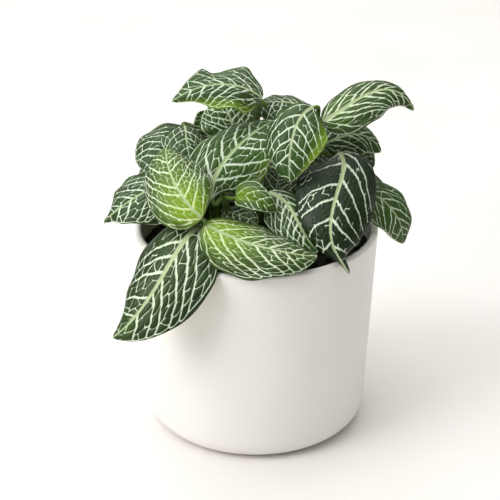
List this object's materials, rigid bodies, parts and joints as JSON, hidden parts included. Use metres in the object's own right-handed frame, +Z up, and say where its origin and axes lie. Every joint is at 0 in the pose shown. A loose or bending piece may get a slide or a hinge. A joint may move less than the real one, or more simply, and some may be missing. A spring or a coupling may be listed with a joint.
{
  "type": "potted nerve plant",
  "caption": "Nerve plant with dark green, white-veined leaves in a plain white pot",
  "frame": {"origin": "middle of the pot's flat underside", "axes": "+X to the right and -Y to the viewer with the hanging front left leaf nearest, +Z up"},
  "size_m": [0.1618, 0.1594, 0.1958],
  "materials": {
    "pot": "plain white, satin glaze",
    "soil": "dark, moist, crumbly",
    "leaf": "dark green, fine relief, white net of veins",
    "lime_leaf": "lime green, fine relief, pale net of veins"
  },
  "bodies": {
    "root": {"pot": "pot", "soil": "soil", "stem_front_left": "lime_leaf", "stem_left": "leaf", "stem_upper_left": "leaf", "stem_centre": "leaf", "stem_top": "leaf", "stem_upper_right": "leaf", "stem_right": "leaf", "stem_front": "leaf", "stem_back_left": "leaf", "stem_back": "leaf", "stem_back_right": "leaf"}
  },
  "joints": []
}
